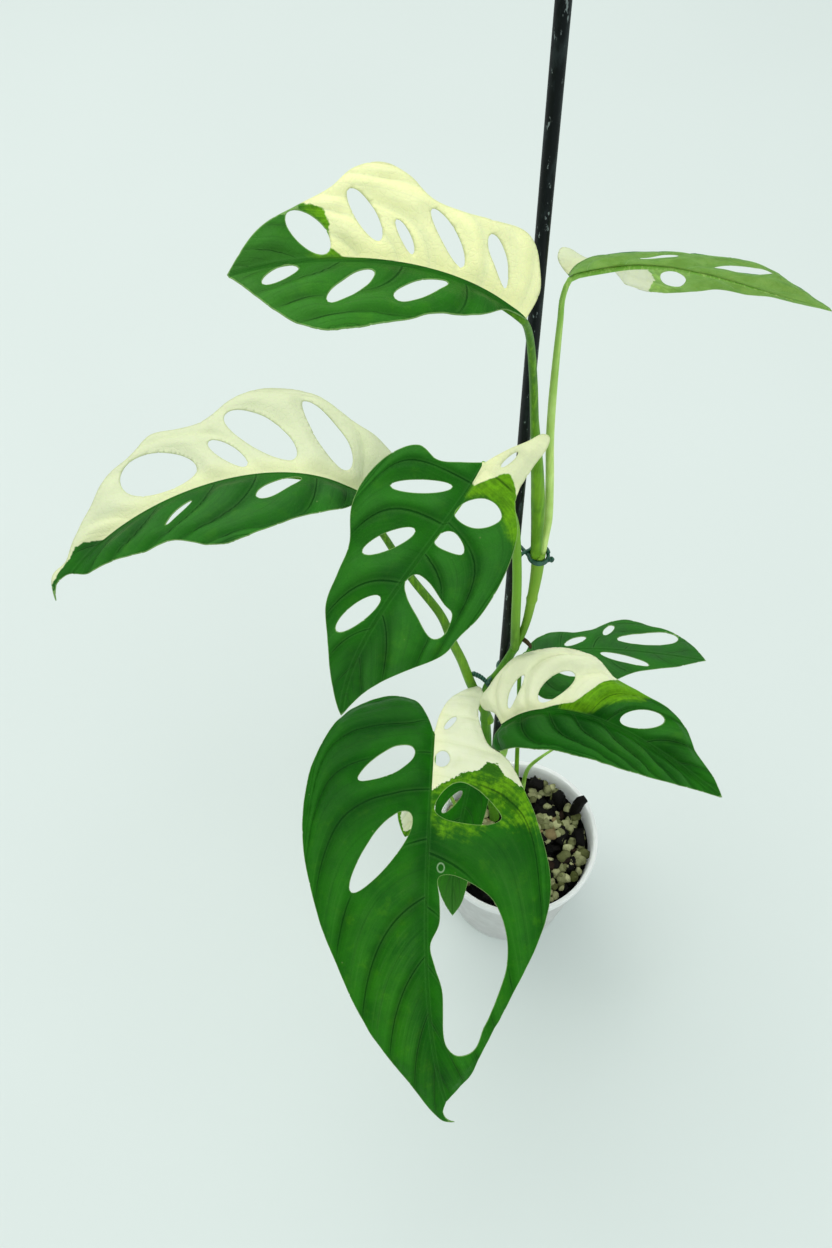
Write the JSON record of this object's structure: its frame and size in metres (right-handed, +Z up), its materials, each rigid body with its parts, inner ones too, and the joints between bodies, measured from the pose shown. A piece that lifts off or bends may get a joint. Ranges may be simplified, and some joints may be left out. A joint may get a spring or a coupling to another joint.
{
  "type": "potted plant",
  "caption": "Variegated swiss cheese vine with holed green and cream leaves, tied to a round stake in a white plastic nursery pot.",
  "frame": {"origin": "the middle of the pot's underside, where it rests on the floor", "axes": "+Z is up along the stake from the pot's underside, the front over which the biggest leaf hangs is -Y, and +X is the right of that front, towards leaves B, F and G"},
  "size_m": [0.2646, 0.2267, 0.603],
  "materials": {
    "pot": "translucent white moulded plastic, softly glossy, with a flat rim band",
    "mix": "damp dark bark chips with pale porous granules",
    "stake": "black coating, dulled by pale dust",
    "stem": "smooth living green stalk, slightly waxy",
    "root": "dry brown root skin",
    "leaf": "semi-gloss living leaf, deep green with cream and yellow-green sectors, quilted along the side veins",
    "tie": "dark green plastic coated wire"
  },
  "bodies": {
    "root": {"pot": "pot", "potting_mix": "mix", "stake": "stake", "vine_stem": "stem", "stalk_a": "stem", "stalk_b": "stem", "stalk_c": "stem", "stalk_d": "stem", "stalk_e": "stem", "stalk_f": "stem", "stalk_g": "stem", "stalk_h": "stem", "stalk_i": "stem", "sprout": "stem", "aerial_root": "root", "leaf_a": "leaf", "leaf_b": "leaf", "leaf_c": "leaf", "leaf_d": "leaf", "leaf_e": "leaf", "leaf_f": "leaf", "leaf_g": "leaf", "leaf_h": "leaf", "leaf_i": "leaf", "tie_upper": "tie", "tie_lower": "tie"}
  },
  "joints": []
}
